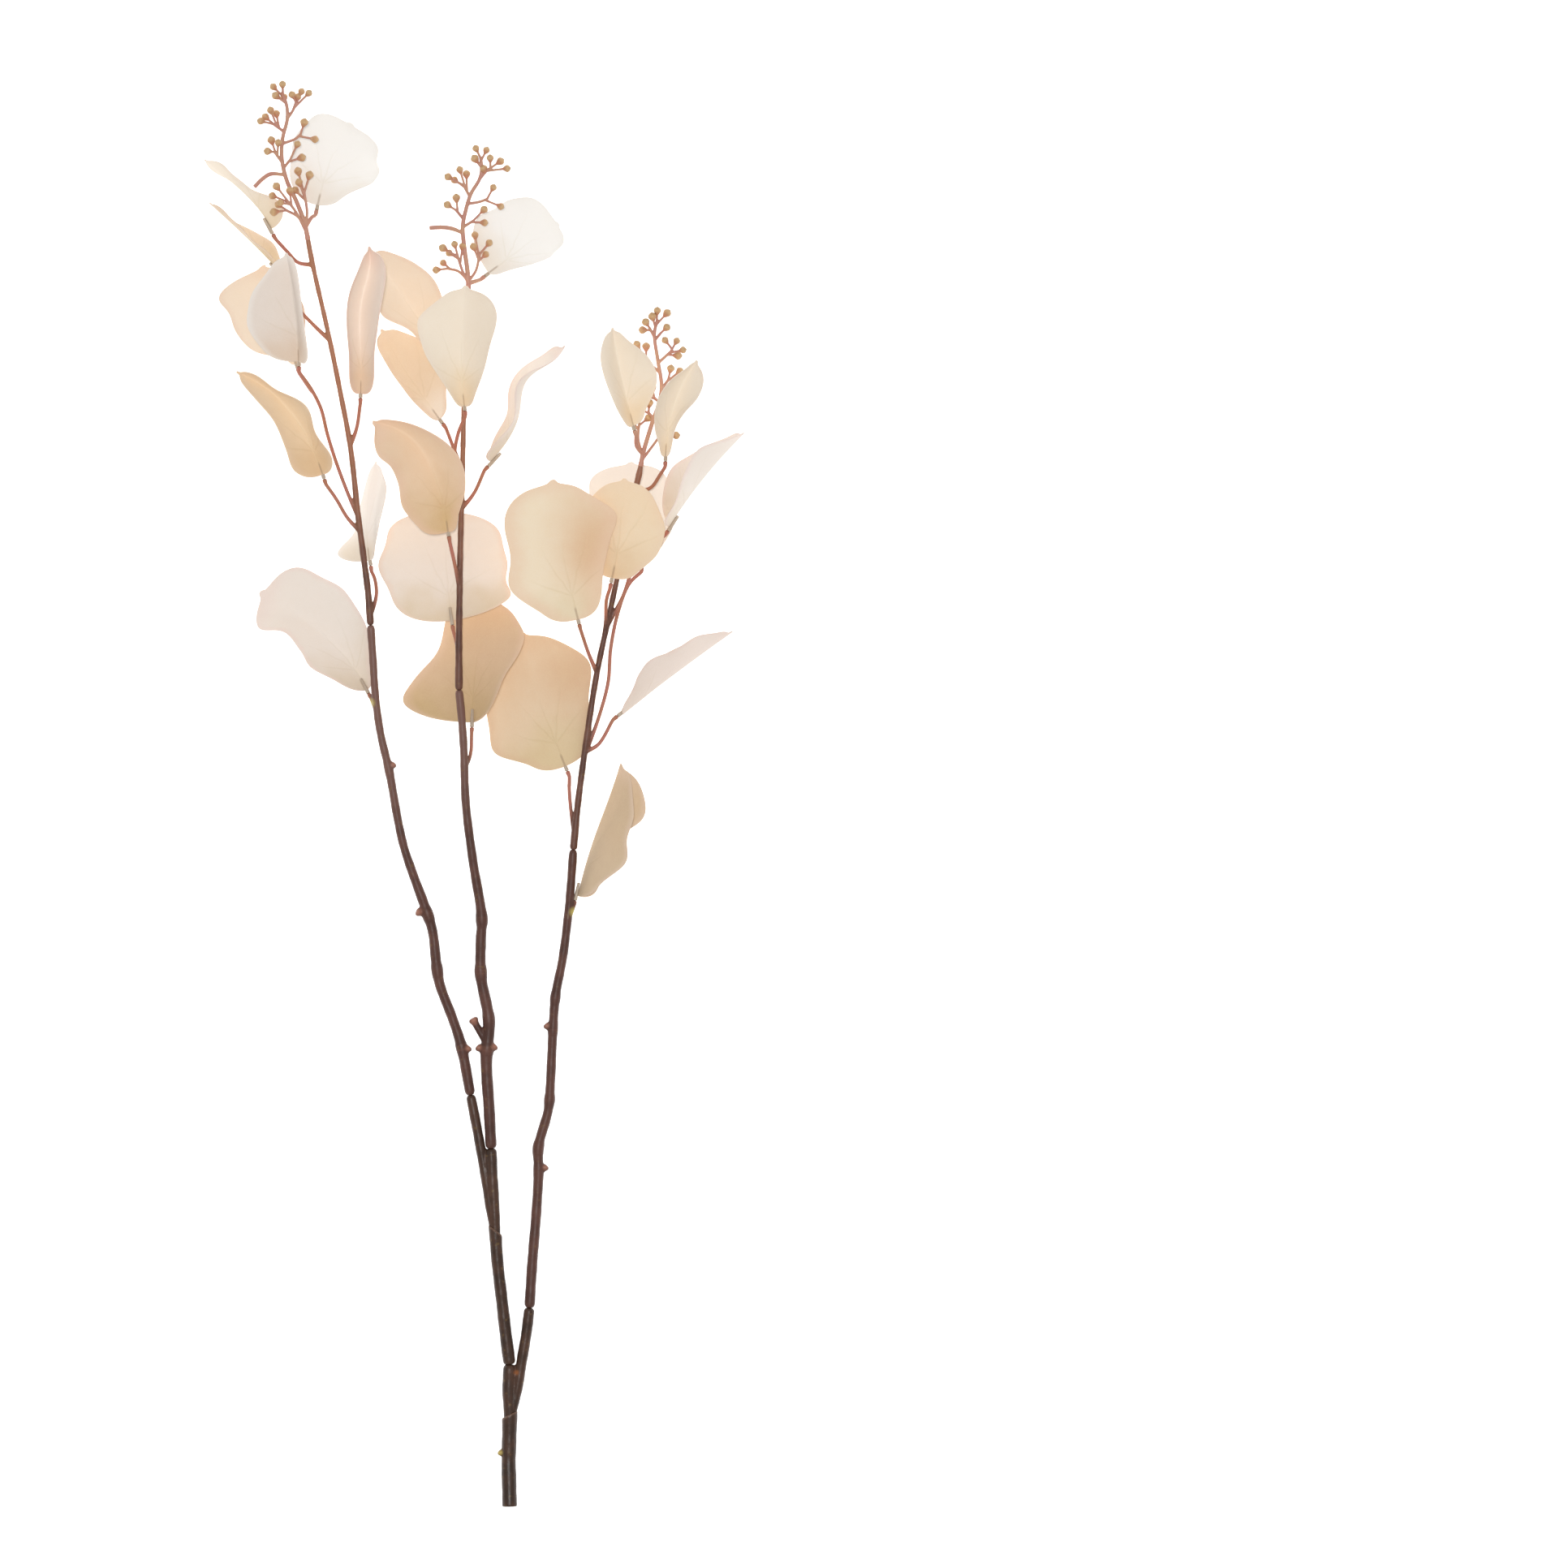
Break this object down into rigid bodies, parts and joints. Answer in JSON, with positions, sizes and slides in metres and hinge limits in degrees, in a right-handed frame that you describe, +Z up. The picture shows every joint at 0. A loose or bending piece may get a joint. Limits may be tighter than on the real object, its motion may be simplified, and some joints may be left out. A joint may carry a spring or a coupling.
{
  "type": "eucalyptus gum nut sprig",
  "caption": "Lying florist's sprig of eucalyptus: a forked woody stem with round cloth leaves on stalks and a small spray of gum nuts at the tip of each branch.",
  "frame": {"origin": "on the table, under the middle of the sprig's box", "axes": "+Y from the cut end to the tips, +Z up from the table it lies on"},
  "size_m": [0.3335, 0.8799, 0.0917],
  "materials": {
    "dark_bark": "moulded, dark brown, satin, with fine lengthwise grain",
    "brown_bark": "moulded, reddish brown, satin, with swollen nodes",
    "red_bark": "moulded, warm red brown, satin",
    "gum_nut": "moulded, pinkish brown stalks and olive tan nuts, satin",
    "peach_cloth": "printed polyester leaf cloth, peach to tan, matte, with faint veins",
    "ivory_cloth": "printed polyester leaf cloth, ivory to pinkish white, matte, with faint veins"
  },
  "bodies": {
    "root": {"trunk": "dark_bark", "lower_fork": "dark_bark", "middle_stem": "dark_bark", "upper_fork": "dark_bark", "left_branch": "brown_bark", "middle_branch": "brown_bark", "right_branch": "brown_bark", "left_branch_top": "red_bark", "middle_branch_top": "red_bark", "right_branch_top": "red_bark", "gum_nuts_left": "gum_nut", "gum_nuts_middle": "gum_nut", "gum_nuts_right": "gum_nut", "leaf_left_01": "ivory_cloth", "leaf_left_02": "peach_cloth", "leaf_left_03": "peach_cloth", "leaf_left_04": "ivory_cloth", "leaf_left_05": "peach_cloth", "leaf_left_06": "peach_cloth", "leaf_left_07": "ivory_cloth", "leaf_left_08": "ivory_cloth", "leaf_left_09": "peach_cloth", "leaf_middle_01": "ivory_cloth", "leaf_middle_02": "peach_cloth", "leaf_middle_03": "peach_cloth", "leaf_middle_04": "peach_cloth", "leaf_middle_05": "peach_cloth", "leaf_middle_06": "ivory_cloth", "leaf_middle_07": "ivory_cloth", "leaf_middle_08": "peach_cloth", "leaf_right_01": "peach_cloth", "leaf_right_02": "ivory_cloth", "leaf_right_03": "ivory_cloth", "leaf_right_04": "peach_cloth", "leaf_right_05": "ivory_cloth", "leaf_right_06": "peach_cloth", "leaf_right_07": "peach_cloth", "leaf_right_08": "ivory_cloth", "leaf_right_09": "peach_cloth"}
  },
  "joints": []
}
